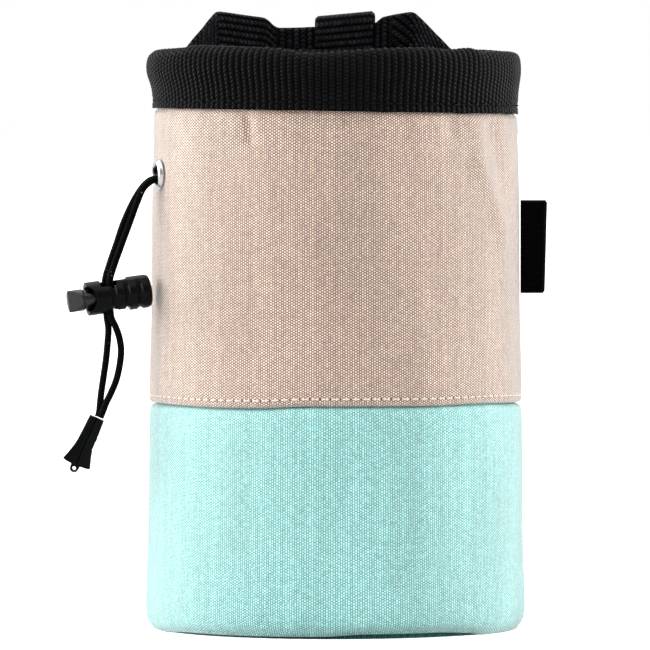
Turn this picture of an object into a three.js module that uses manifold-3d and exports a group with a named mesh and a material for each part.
import * as THREE from "three";
import { mergeVertices } from "three/addons/utils/BufferGeometryUtils.js";
import Module from "manifold-3d";

const wasm = await Module();
wasm.setup();

// A climbing chalk bag, standing open and empty. Sizes are in millimetres and turns in degrees.
// The front faces -Y, +X is to its right and +Z is up. The origin is the middle of the base,
// on the surface that the bag stands on.

// Cloth of the bag
const bagHeight = 174.5;
const bagRadius = 55.2;
const wall = 1.8;
const webbing = 1.4;
const clear = 0.3;
const seamHeight = 68;
const hemOverlap = 8;
const lowerSwell = 1.7;
const baseThick = 2.2;
const sidesAround = 48;

// Bound mouth
const rimDepth = 19.3;
const innerLegRise = 2;
const rimRoll = 1.25;
const rollLean = 0.35;
const mouthPinch = 1.85;
const mouthTilt = 0.9;
const tiltReach = 9;
const foldFade = 3;

// Webbing at the back
const strapTop = 185.6;
const strapWidth = 20;
const strapLeftTurn = 142.8;
const strapRightTurn = 51.6;
const strapStandoff = 4.8;
const loopTurn = 87.2;
const loopWidth = 17.3;
const loopFoldTop = 184.9;
const loopTilt = 1.7;
const loopSewnTop = 160;
const loopSewnEnd = 102;
const beltGap = 7.4;
const strapSteps = 48;
const foldSteps = 6;
const legSteps = 20;
const loopSteps = 3;

// Side tab
const tabHeight = 27.9;
const tabLow = 100.5;
const tabOut = 7.6;
const tabThick = 2.4;
const tabSlope = 0.7;

// Eyelet and the tape channel behind it
const eyeletTurn = 198;
const eyeletDrop = 19.1;
const eyeletHole = 3;
const eyeletNeck = 0.35;
const drillSides = 24;
const eyeletOutside = 4.65;
const eyeletInside = 4.3;
const eyeletProud = 1.5;
const eyeletBack = 0.7;
const eyeletSides = 20;
const channelEdge = 2.4;
const channelSlope = 2;
const tape = 1.2;

// Cord lock, measured from the middle of its barrel along its own axis
const lockCentre = new THREE.Vector3(-64.65, -19.6, 100.45);
const lockTilt = 7.6;
const lockYaw = 12;
const barrelLength = 19.4;
const barrelRadius = 5;
const barrelEndWall = 1.8;
const grooveDepth = 0.55;
const grooveWidth = 1.9;
const headRadius = 3.25;
const headLength = 4.4;
const buttonRadius = 2.95;
const buttonProud = 5.5;
const buttonTravel = 3.6;
const buttonTail = 2.8;
const tipFacet = 4;
const mouthScoop = 3.7;
const mouthScoopDepth = 2.4;
const cordSlotFrom = -5.35;
const cordSlotTo = 2.9;
const cordSlotHalf = 2.25;
const cordHoleNear = 3.7;
const cordHoleTo = -0.6;
const cordHoleLow = 1.5;
const cordsTo = -0.95;
const cordsFrom = -5.2;
const lipRound = 0.5;
const endRound = 1;
const lockSides = 24;

// Moulded end on the two cords
const cordEndTop = new THREE.Vector3(-71, -20, 63.85);
const cordEndLean = 23.7;
const cordEndLength = 14.9;
const cordEndTopHalf = 2.27;
const cordEndFootHalf = 4.4;
const cordEndDepth = 5.2;
const ringRadius = 1.2;
const ringHole = 0.63;
const ringDrop = 1.4;
const waistOut = 1.1;
const waistDrop = 0.62;
const bellSteps = 8;

// Drawcord
const cordRadius = 1;
const cordSides = 8;
const cordSteps = 24;

// Routes of the two strands, from inside the eyelet through the lock to the moulded end.
const farStrand = [
  [-49.8, -14.95, 134.9],
  [-52.2, -15.7, 134.9],
  [-54.8, -16.6, 134.7],
  [-57.2, -17.3, 132.8],
  [-59.8, -18.05, 128.9],
  [-62.9, -19.2, 122.3],
  [-65.3, -19.45, 115.3],
  [-67.35, -19.55, 109.3],
  [-68.6, -19.5, 104.6],
  [-68.35, -19.4, 99.3],
  [-68.1, -19.35, 93.95],
  [-67.6, -19.45, 90.4],
  [-67.8, -19.6, 86.7],
  [-68.3, -19.5, 81.4],
  [-69, -19.3, 76.5],
  [-69.7, -19.1, 71.8],
  [-70.15, -18.95, 67.8],
  [-70.3, -18.9, 66],
  [-70.7, -18.9, 64.15],
];
const nearStrand = [
  [-49.1, -17.2, 134.9],
  [-51.5, -18, 134.9],
  [-54, -18.8, 134.7],
  [-56.8, -19.5, 132.4],
  [-58.4, -19.85, 128.3],
  [-60.9, -20, 121.5],
  [-63.5, -20.95, 114.7],
  [-66, -21.2, 108.5],
  [-67.15, -21.15, 104.6],
  [-66.95, -21.1, 99.3],
  [-66.75, -21.05, 93.95],
  [-65.4, -21.05, 90.9],
  [-64.3, -21, 87.7],
  [-63.8, -21, 83.9],
  [-64.3, -21, 79.1],
  [-65.3, -21.05, 74.9],
  [-66.8, -21.1, 71.3],
  [-68.3, -21.1, 68.2],
  [-69.1, -21.1, 66.1],
  [-70, -21.1, 63.9],
];

// Places that follow from the sizes
const rimLow = bagHeight - rimDepth;
const eyeletHeight = rimLow - eyeletDrop;
const mouthRadius = bagRadius - mouthPinch;
const seatRadius = mouthRadius + clear + webbing;
const tuckRadius = bagRadius - wall - clear;
const visibleUpper = rimLow - seamHeight;

// Sections of the upper panel: rise is a share of its visible height, pinch a share of mouthPinch.
const upperSections = [
  { rise: 0, pinch: 0.08 },
  { rise: 0.03, pinch: 0 },
  { rise: 0.13, pinch: 0 },
  { rise: 0.28, pinch: 0 },
  { rise: 0.44, pinch: 0 },
  { rise: 0.56, pinch: 0.01 },
  { rise: 0.66, pinch: 0.05 },
  { rise: 0.75, pinch: 0.13 },
  { rise: 0.83, pinch: 0.24 },
  { rise: 0.9, pinch: 0.36 },
  { rise: 0.955, pinch: 0.45 },
  { rise: 0.985, pinch: 0.6 },
];

// Sections of the lower panel: rise is a share of the seam height, swell a share of lowerSwell.
const lowerSections = [
  { rise: 0, swell: -0.62 },
  { rise: 0.022, swell: 0.2 },
  { rise: 0.052, swell: 0.76 },
  { rise: 0.1, swell: 1 },
  { rise: 0.2, swell: 0.88 },
  { rise: 0.4, swell: 0.62 },
  { rise: 0.7, swell: 0.47 },
  { rise: 0.91, swell: 0.42 },
  { rise: 0.965, swell: 0.1 },
  { rise: 0.984, swell: -0.45 },
];

// Outer leg of the binding: rise is a share of rimDepth, roll a share of rimRoll.
const rimSections = [
  { rise: 0, roll: 0 },
  { rise: 0.25, roll: 0.04 },
  { rise: 0.42, roll: 0.4 },
  { rise: 0.6, roll: 0.9 },
  { rise: 0.77, roll: 1 },
  { rise: 0.91, roll: 0.55 },
];

// Crown of the eyelet: across is a share of the flange from its hole to its outside, proud a share
// of eyeletProud.
const crownSections = [
  { across: 1, proud: 0 },
  { across: 1, proud: 0.35 },
  { across: 0.76, proud: 0.75 },
  { across: 0.5, proud: 1 },
  { across: 0.18, proud: 0.8 },
  { across: 0, proud: 0.3 },
];

// Grip grooves of the barrel: at is a share of the way from its middle to its closed end. They run
// round its front and underside and fade out on its top, between two shares of its radius.
const grooveSections = [{ at: -0.29 }, { at: 0.12 }, { at: 0.52 }];
const grooveFadeFrom = 0.5;
const grooveFadeTo = 0.85;

// Folds and dents of the upper panel, each a line from one place to another. Turn is in degrees
// from +X, rise a share of the visible height, spread a share of the bag's radius, and depth a
// share of the wall, inwards where it is above 0.
const folds = [
  { fromTurn: 240, fromRise: 0.99, toTurn: 240, toRise: 0.92, spread: 0.05, depth: 0.5 },
  { fromTurn: 264, fromRise: 0.97, toTurn: 278, toRise: 0.97, spread: 0.06, depth: 0.4 },
  { fromTurn: 310, fromRise: 0.98, toTurn: 310, toRise: 0.94, spread: 0.06, depth: 0.4 },
  { fromTurn: 319.5, fromRise: 0.98, toTurn: 321, toRise: 0.82, spread: 0.08, depth: -0.3 },
  { fromTurn: 321, fromRise: 0.82, toTurn: 334, toRise: 0.6, spread: 0.08, depth: -0.3 },
  { fromTurn: 334, fromRise: 0.6, toTurn: 336, toRise: 0.45, spread: 0.08, depth: -0.2 },
  { fromTurn: 329, fromRise: 0.95, toTurn: 335, toRise: 0.78, spread: 0.08, depth: 0.45 },
];

// Back strap from its left foot to its right one. Along is a share of the way, over is 1 where it
// passes over the loop, out a share of strapStandoff, lift a share of the height above the mouth,
// and tall a share of the webbing's width.
const strapSections = [
  { along: 0, over: 0, out: 0, lift: -0.07, tall: 0.88 },
  { along: 0.1, over: 0.2, out: 0.2, lift: 0.52, tall: 0.94 },
  { along: 0.2, over: 1, out: 1, lift: 1, tall: 1 },
  { along: 0.235, over: 1, out: 1, lift: 0.97, tall: 1 },
  { along: 0.29, over: 1, out: 0.9, lift: 0.9, tall: 1 },
  { along: 0.363, over: 1, out: 0.7, lift: 0.82, tall: 1 },
  { along: 0.389, over: 1, out: 0.6, lift: 0.545, tall: 1 },
  { along: 0.45, over: 1, out: 0.3, lift: 0.55, tall: 1 },
  { along: 0.5, over: 1, out: 0, lift: 0.57, tall: 1 },
  { along: 0.61, over: 1, out: 0, lift: 0.6, tall: 1 },
  { along: 0.712, over: 1, out: 0, lift: 0.63, tall: 1 },
  { along: 0.722, over: 1, out: 0.1, lift: 0.82, tall: 1 },
  { along: 0.77, over: 1, out: 0.55, lift: 0.92, tall: 1 },
  { along: 0.82, over: 1, out: 1, lift: 1, tall: 1 },
  { along: 0.92, over: 0.2, out: 0.25, lift: 0.42, tall: 0.94 },
  { along: 1, over: 0, out: 0, lift: -0.07, tall: 0.88 },
];

// Outer leg of the loop: drop is a share of the way from its fold to its sewn end, out a share
// of beltGap.
const loopSections = [
  { drop: 0.2, out: 0.72 },
  { drop: 0.34, out: 0.96 },
  { drop: 0.48, out: 1 },
  { drop: 0.62, out: 0.86 },
  { drop: 0.75, out: 0.36 },
  { drop: 0.84, out: 0.04 },
  { drop: 0.9, out: 0 },
  { drop: 1, out: 0 },
];

const tanCloth = new THREE.MeshStandardMaterial({ color: 0xcdb79c, roughness: 0.9 });
const mintCloth = new THREE.MeshStandardMaterial({ color: 0x93d6ca, roughness: 0.9 });
const baseCloth = new THREE.MeshStandardMaterial({ color: 0x1f4b47, roughness: 0.85 });
const blackWebbing = new THREE.MeshStandardMaterial({ color: 0x0b0a0e, roughness: 0.75 });
const blackCord = new THREE.MeshStandardMaterial({ color: 0x0c0d0d, roughness: 0.8 });
const blackPlastic = new THREE.MeshStandardMaterial({ color: 0x0d1010, roughness: 0.4 });
const greyPlastic = new THREE.MeshStandardMaterial({ color: 0x17181b, roughness: 0.45 });
const silver = new THREE.MeshStandardMaterial({ color: 0xd9d9d9, roughness: 0.2, metalness: 1 });

function radians(turn) {
  return THREE.MathUtils.degToRad(turn);
}

function turnOf(x, y) {
  const turn = THREE.MathUtils.radToDeg(Math.atan2(y, x));
  return turn < 0 ? turn + 360 : turn;
}

// Value of one column of a table at a place between its rows.
function between(table, key, column, place) {
  const next = table.findIndex((row) => row[key] >= place);
  if (next === -1) {
    return table[table.length - 1][column];
  }
  if (next === 0) {
    return table[0][column];
  }
  const low = table[next - 1];
  const high = table[next];
  const share = (place - low[key]) / (high[key] - low[key]);
  return THREE.MathUtils.lerp(low[column], high[column], share);
}

// A place on the unrolled wall, across and up.
function unrolled(turn, z) {
  return new THREE.Vector2(radians(turn) * bagRadius, z);
}

// Depth of all folds at a place on the unrolled wall. The binding holds the mouth smooth.
function foldDepth(turn, z) {
  const here = unrolled(turn, z);
  let depth = 0;
  for (const fold of folds) {
    const from = unrolled(fold.fromTurn, seamHeight + fold.fromRise * visibleUpper);
    const to = unrolled(fold.toTurn, seamHeight + fold.toRise * visibleUpper);
    const way = to.clone().sub(from);
    const share = THREE.MathUtils.clamp(here.clone().sub(from).dot(way) / way.lengthSq(), 0, 1);
    const distance = here.distanceTo(from.addScaledVector(way, share));
    const spread = fold.spread * bagRadius;
    depth += fold.depth * wall * Math.exp(-((distance / spread) ** 2));
  }
  return depth * (1 - THREE.MathUtils.smoothstep(z, rimLow - foldFade, rimLow - clear));
}

// The soft shape that all cloth shares: folds press in and the lower edge of the mouth tilts.
function settle(point) {
  const radius = Math.hypot(point.x, point.y);
  const shrink = (radius - foldDepth(turnOf(point.x, point.y), point.z)) / radius;
  const tilt = mouthTilt * (point.x / bagRadius) * Math.exp(-(((point.z - rimLow) / tiltReach) ** 2));
  point.set(point.x * shrink, point.y * shrink, point.z - tilt);
}

// Merges a geometry's shared corners and moves each one by a function.
function moved(geometry, place) {
  geometry.deleteAttribute("normal");
  geometry.deleteAttribute("uv");
  const closed = mergeVertices(geometry, 0.001);
  const position = closed.getAttribute("position");
  const point = new THREE.Vector3();
  for (let i = 0; i < position.count; i += 1) {
    point.fromBufferAttribute(position, i);
    place(point);
    position.setXYZ(i, point.x, point.y, point.z);
  }
  closed.computeVertexNormals();
  return closed;
}

function unmoved(geometry) {
  return moved(geometry, () => {});
}

// Turns a closed profile of [radius, height] about +Z, up its outside and down its inside.
function turned(profile, sides, place) {
  const outline = profile.map(([radius, height]) => new THREE.Vector2(radius, height));
  if (profile[0][0] > 0) {
    outline.push(outline[0].clone());
  }
  const lathe = new THREE.LatheGeometry(outline, sides);
  lathe.rotateX(Math.PI / 2);
  return moved(lathe, place);
}

function solidOf(geometry) {
  const closed = geometry.index && !geometry.getAttribute("uv") ? geometry : unmoved(geometry);
  const mesh = new wasm.Mesh({
    numProp: 3,
    vertProperties: Float32Array.from(closed.getAttribute("position").array),
    triVerts: Uint32Array.from(closed.index.array),
  });
  return new wasm.Manifold(mesh);
}

function geometryOf(solid) {
  const mesh = solid.getMesh();
  const geometry = new THREE.BufferGeometry();
  geometry.setAttribute("position", new THREE.BufferAttribute(Float32Array.from(mesh.vertProperties), 3));
  geometry.setIndex(new THREE.BufferAttribute(Uint32Array.from(mesh.triVerts), 1));
  geometry.computeVertexNormals();
  return geometry;
}

function cut(geometry, ...tools) {
  let solid = solidOf(geometry);
  for (const tool of tools) {
    solid = solid.subtract(solidOf(tool));
  }
  return geometryOf(solid);
}

function piece(name, geometry, material) {
  const mesh = new THREE.Mesh(geometry, material);
  mesh.name = name;
  return mesh;
}

// Outside radius of the upper panel at a height.
function panelRadius(z) {
  const rise = (z - seamHeight) / visibleUpper;
  return bagRadius - mouthPinch * between(upperSections, "rise", "pinch", rise);
}

// Matrix that takes a tool's +Z to the way out of the eyelet, from the bag's axis.
function eyeletFrame(radius) {
  const out = new THREE.Vector3(Math.cos(radians(eyeletTurn)), Math.sin(radians(eyeletTurn)), 0);
  const turn = new THREE.Quaternion().setFromUnitVectors(new THREE.Vector3(0, 0, 1), out);
  const place = out.clone().multiplyScalar(radius).setZ(eyeletHeight);
  return new THREE.Matrix4().compose(place, turn, new THREE.Vector3(1, 1, 1));
}

function upperPanel() {
  const outside = upperSections.map((row) => [
    bagRadius - row.pinch * mouthPinch,
    seamHeight + row.rise * visibleUpper,
  ]);
  const top = bagHeight - webbing - clear;
  outside.push([mouthRadius, rimLow - clear]);
  outside.push([mouthRadius, (rimLow + top) / 2]);
  outside.push([mouthRadius, top]);
  const inside = outside.map(([radius, height]) => [radius - wall, height]).reverse();
  const tube = turned([...outside, ...inside], sidesAround, settle);
  const drillRadius = eyeletHole + eyeletNeck + clear;
  const drillLength = 2 * (wall + eyeletInside);
  const drill = new THREE.CylinderGeometry(drillRadius, drillRadius, drillLength, drillSides);
  drill.rotateX(Math.PI / 2);
  drill.applyMatrix4(eyeletFrame(panelRadius(eyeletHeight)));
  return cut(tube, drill);
}

function lowerPanel() {
  const outside = lowerSections.map((row) => [
    bagRadius + row.swell * lowerSwell,
    row.rise * seamHeight,
  ]);
  outside.push([tuckRadius, seamHeight - clear]);
  outside.push([tuckRadius, seamHeight + hemOverlap]);
  const inside = outside.map(([radius, height]) => [radius - wall, height]).reverse();
  return turned([...outside, ...inside], sidesAround, settle);
}

function basePanel() {
  const radius = bagRadius + lowerSections[0].swell * lowerSwell - wall - clear;
  const profile = [[0, 0], [radius, 0], [radius, baseThick], [0, baseThick]];
  return turned(profile, sidesAround, () => {});
}

// Outside radius of the binding's roll at a turn.
function rollRadius(turn) {
  return seatRadius + rimRoll * (1 - rollLean * Math.cos(radians(turn)));
}

function rimBinding() {
  const outside = rimSections.map((row) => [seatRadius + row.roll * rimRoll, rimLow + row.rise * rimDepth]);
  const slotOuter = mouthRadius + clear;
  const slotInner = mouthRadius - wall - clear;
  const slotTop = bagHeight - webbing;
  const inner = slotInner - webbing;
  const profile = [
    ...outside,
    [slotOuter, bagHeight],
    [slotInner, bagHeight],
    [inner + webbing / 3, bagHeight - webbing / 2],
    [inner, bagHeight - 2 * webbing],
    [inner, rimLow + innerLegRise],
    [slotInner, rimLow + innerLegRise],
    [slotInner, slotTop],
    [slotOuter, slotTop],
    [slotOuter, rimLow],
  ];
  return turned(profile, sidesAround, (point) => {
    const radius = Math.hypot(point.x, point.y);
    const swell = Math.max(radius - seatRadius, 0) * rollLean * (point.x / radius);
    point.multiply(new THREE.Vector3(1 - swell / radius, 1 - swell / radius, 1));
    settle(point);
  });
}

// Flange faces of the eyelet, counted outwards from the outside of the wall.
const flangeSag = eyeletInside ** 2 / (2 * (bagRadius - wall));
const backFlangeTop = -(wall + clear + flangeSag);
const backFlangeFoot = backFlangeTop - eyeletBack;

function eyelet() {
  const neck = eyeletHole + eyeletNeck;
  const profile = [
    [neck, backFlangeTop],
    [neck, clear],
    ...crownSections.map((row) => [
      THREE.MathUtils.lerp(eyeletHole, eyeletOutside, row.across),
      clear + row.proud * eyeletProud,
    ]),
    [eyeletHole, backFlangeFoot],
    [eyeletInside, backFlangeFoot],
    [eyeletInside, backFlangeTop],
  ];
  const ring = turned(profile, eyeletSides, () => {});
  ring.applyMatrix4(eyeletFrame(panelRadius(eyeletHeight)));
  return ring;
}

function cordCasing() {
  const channel = panelRadius(eyeletHeight) + backFlangeFoot - clear;
  const channelHalf = eyeletInside + 2 * clear;
  const edgeGap = wall + 2 * clear;
  const upwards = [
    [channel, channelHalf],
    [null, channelHalf + channelSlope],
    [null, channelHalf + channelSlope + channelEdge],
  ];
  const at = (radius, height) => [radius ?? panelRadius(height) - edgeGap, height];
  const outside = [
    ...upwards.map(([radius, rise]) => at(radius, eyeletHeight - rise)).reverse(),
    ...upwards.map(([radius, rise]) => at(radius, eyeletHeight + rise)),
  ];
  const inside = outside.map(([radius, height]) => [radius - tape, height]).reverse();
  return turned([...outside, ...inside], sidesAround, settle);
}

function backStrap() {
  const box = new THREE.BoxGeometry(1, 1, 1, strapSteps, 1, 1);
  return moved(box, (point) => {
    const along = point.x + 0.5;
    const outer = 0.5 - point.z;
    const turn = THREE.MathUtils.lerp(strapLeftTurn, strapRightTurn, along);
    const over = between(strapSections, "along", "over", along) * (webbing + clear);
    const out = between(strapSections, "along", "out", along) * strapStandoff;
    const radius = rollRadius(turn) + clear + over + out + outer * webbing;
    const top = bagHeight + between(strapSections, "along", "lift", along) * (strapTop - bagHeight);
    const tall = between(strapSections, "along", "tall", along) * strapWidth;
    point.set(
      radius * Math.cos(radians(turn)),
      radius * Math.sin(radians(turn)),
      top - (0.5 - point.y) * tall,
    );
  });
}

// Closed outline of a band of one thickness about a line of points.
function bandShape(line, thickness) {
  const left = [];
  const right = [];
  line.forEach((point, i) => {
    const before = line[Math.max(i - 1, 0)];
    const after = line[Math.min(i + 1, line.length - 1)];
    const way = after.clone().sub(before).normalize();
    const side = new THREE.Vector2(-way.y, way.x).multiplyScalar(thickness / 2);
    left.push(point.clone().add(side));
    right.push(point.clone().sub(side));
  });
  return new THREE.Shape([...left, ...right.reverse()]);
}

function beltLoop() {
  const innerLeg = rollRadius(loopTurn) + clear + webbing / 2;
  const foldRadius = webbing + clear;
  const foldHeight = loopFoldTop - webbing / 2 - foldRadius;
  const line = [new THREE.Vector2(innerLeg, loopSewnTop), new THREE.Vector2(innerLeg, foldHeight - webbing)];
  for (let step = 0; step <= foldSteps; step += 1) {
    const angle = Math.PI * (1 - step / foldSteps);
    line.push(new THREE.Vector2(
      innerLeg + foldRadius + foldRadius * Math.cos(angle),
      foldHeight + foldRadius * Math.sin(angle),
    ));
  }
  const legRadius = bagRadius + clear + webbing / 2;
  const path = new THREE.SplineCurve([
    new THREE.Vector2(innerLeg + 2 * foldRadius, foldHeight - webbing),
    ...loopSections.map((row) => new THREE.Vector2(
      legRadius + row.out * beltGap,
      THREE.MathUtils.lerp(foldHeight, loopSewnEnd, row.drop),
    )),
  ]);
  line.push(...path.getPoints(legSteps));
  const outline = bandShape(line, webbing);
  const strip = new THREE.ExtrudeGeometry(outline, { depth: 1, steps: loopSteps, bevelEnabled: false });
  const halfTurn = THREE.MathUtils.radToDeg(loopWidth / 2 / legRadius);
  return moved(strip, (point) => {
    const across = point.z - 0.5;
    const turn = loopTurn - 2 * across * halfTurn;
    const rise = THREE.MathUtils.smoothstep(point.y, rimLow, foldHeight);
    const radius = point.x;
    point.set(
      radius * Math.cos(radians(turn)),
      radius * Math.sin(radians(turn)),
      point.y + loopTilt * across * rise,
    );
  });
}

function sideTab() {
  const half = tabThick / 2;
  const start = bagRadius + clear;
  const outline = new THREE.Shape();
  outline.moveTo(start, -half);
  outline.lineTo(start + tabOut - half, -half);
  outline.absarc(start + tabOut - half, 0, half, -Math.PI / 2, Math.PI / 2, false);
  outline.lineTo(start, half);
  outline.closePath();
  const tab = new THREE.ExtrudeGeometry(outline, {
    depth: tabHeight, steps: 1, bevelEnabled: false, curveSegments: foldSteps,
  });
  return moved(tab, (point) => {
    const share = (point.x - start) / tabOut;
    point.x -= tabSlope * share * (1 - point.z / tabHeight);
    point.z += tabLow;
  });
}

// The lock's pieces lie along +X: the barrel's closed end is on the right, its mouth on the left.
const barrelLeft = -barrelLength / 2;
const barrelRight = barrelLength / 2;
const boreRadius = headRadius + clear;

function cordSlot(from, to, half, tall) {
  const slot = new THREE.BoxGeometry(to - from, 2 * half, tall);
  slot.translate((from + to) / 2, 0, 0);
  return slot;
}

function lockBarrel() {
  const profile = [
    [0, barrelLeft],
    [barrelRadius - lipRound, barrelLeft],
    [barrelRadius, barrelLeft + lipRound],
  ];
  for (const row of grooveSections) {
    const at = row.at * barrelRight;
    profile.push([barrelRadius, at]);
    profile.push([barrelRadius - grooveDepth, at + grooveWidth / 3]);
    profile.push([barrelRadius - grooveDepth, at + grooveWidth * 2 / 3]);
    profile.push([barrelRadius, at + grooveWidth]);
  }
  profile.push([barrelRadius, barrelRight - endRound]);
  profile.push([barrelRadius - endRound, barrelRight]);
  profile.push([0, barrelRight]);
  const body = turned(profile, lockSides, fadeGroove);
  body.rotateY(Math.PI / 2);
  const boreLength = barrelLength - barrelEndWall;
  const bore = new THREE.CylinderGeometry(boreRadius, boreRadius, boreLength + 2 * clear, lockSides);
  bore.rotateZ(Math.PI / 2);
  bore.translate(barrelLeft + boreLength / 2 - clear, 0, 0);
  const scoop = new THREE.CylinderGeometry(mouthScoop, mouthScoop, 2 * barrelRadius, lockSides);
  scoop.scale(mouthScoopDepth / mouthScoop, 1, 1);
  scoop.translate(barrelLeft, -barrelRadius, 0);
  const hole = new THREE.BoxGeometry(cordHoleTo - cordSlotFrom, cordHoleNear, barrelRadius);
  hole.translate((cordSlotFrom + cordHoleTo) / 2, -cordHoleNear / 2, cordHoleLow + barrelRadius / 2);
  const slot = cordSlot(cordSlotFrom, cordSlotTo, cordSlotHalf, 4 * barrelRadius);
  return cut(body, bore, scoop, slot, hole);
}

// Fills the grooves on the barrel's top, which is at -X before the barrel is laid along +X.
function fadeGroove(point) {
  const radius = Math.hypot(point.x, point.y);
  if (radius > boreRadius && Math.abs(point.z) < barrelRight - endRound - clear) {
    const top = THREE.MathUtils.smoothstep(-point.x / radius, grooveFadeFrom, grooveFadeTo);
    const filled = THREE.MathUtils.lerp(radius, barrelRadius, top) / radius;
    point.set(point.x * filled, point.y * filled, point.z);
  }
}

// The plunger has a wider head, cut slanted from the middle of its tip to its near side.
function lockButton() {
  const tip = barrelLeft - buttonProud;
  const profile = [
    [0, tip],
    [headRadius, tip],
    [headRadius, tip + headLength],
    [buttonRadius, tip + headLength],
    [buttonRadius, cordsTo + buttonTail],
    [0, cordsTo + buttonTail],
  ];
  const rod = turned(profile, lockSides, () => {});
  rod.rotateY(Math.PI / 2);
  const facet = new THREE.BoxGeometry(tipFacet * 4, headRadius * 4, headRadius * 4);
  facet.translate(-tipFacet * 2, -headRadius * 2, 0);
  facet.rotateZ(Math.atan2(-headRadius, tipFacet) + Math.PI / 2);
  facet.translate(tip, 0, 0);
  const slot = cordSlot(cordsFrom - buttonTravel, cordsTo, cordSlotHalf, 4 * buttonRadius);
  return cut(rod, slot, facet);
}

function cordEnd() {
  const outline = new THREE.Shape();
  const foot = -cordEndLength;
  outline.moveTo(-cordEndTopHalf, 0);
  outline.quadraticCurveTo(-cordEndTopHalf * waistOut, foot * waistDrop, -cordEndFootHalf, foot);
  outline.lineTo(-ringRadius, foot);
  outline.lineTo(-ringRadius, foot - ringDrop);
  outline.absarc(0, foot - ringDrop, ringRadius, Math.PI, 2 * Math.PI, false);
  outline.lineTo(ringRadius, foot);
  outline.lineTo(cordEndFootHalf, foot);
  outline.quadraticCurveTo(cordEndTopHalf * waistOut, foot * waistDrop, cordEndTopHalf, 0);
  outline.closePath();
  const hole = new THREE.Path();
  hole.absarc(0, foot - ringDrop, ringHole, 0, 2 * Math.PI, true);
  outline.holes.push(hole);
  const bell = new THREE.ExtrudeGeometry(outline, {
    depth: cordEndDepth, bevelEnabled: false, curveSegments: bellSteps,
  });
  bell.translate(0, 0, -cordEndDepth / 2);
  bell.rotateX(Math.PI / 2);
  return unmoved(bell);
}

function strand(route) {
  const section = new THREE.Shape();
  for (let side = 0; side < cordSides; side += 1) {
    const angle = 2 * Math.PI * side / cordSides;
    const corner = [cordRadius * Math.cos(angle), cordRadius * Math.sin(angle)];
    if (side === 0) {
      section.moveTo(...corner);
    } else {
      section.lineTo(...corner);
    }
  }
  section.closePath();
  const points = route.map((point) => new THREE.Vector3(...point));
  const extrudePath = new THREE.CatmullRomCurve3(points, false, "centripetal");
  return unmoved(new THREE.ExtrudeGeometry(section, { steps: cordSteps, extrudePath, bevelEnabled: false }));
}

const bag = new THREE.Group();
bag.add(piece("upper_panel", upperPanel(), tanCloth));
bag.add(piece("lower_panel", lowerPanel(), mintCloth));
bag.add(piece("base_panel", basePanel(), baseCloth));
bag.add(piece("rim_binding", rimBinding(), blackWebbing));
bag.add(piece("cord_casing", cordCasing(), tanCloth));
bag.add(piece("back_strap", backStrap(), blackWebbing));
bag.add(piece("belt_loop", beltLoop(), blackWebbing));
bag.add(piece("side_tab", sideTab(), blackWebbing));
bag.add(piece("eyelet", eyelet(), silver));
bag.add(piece("drawcord_1", strand(farStrand), blackCord));
bag.add(piece("drawcord_2", strand(nearStrand), blackCord));

const lock = new THREE.Group();
lock.position.copy(lockCentre);
lock.rotation.set(0, -radians(lockTilt), radians(lockYaw), "ZYX");
lock.add(piece("lock_barrel", lockBarrel(), blackPlastic));
lock.add(piece("lock_button", lockButton(), greyPlastic));
bag.add(lock);

const end = piece("cord_end", cordEnd(), blackPlastic);
end.position.copy(cordEndTop);
end.rotation.y = radians(cordEndLean);
bag.add(end);

export default bag;
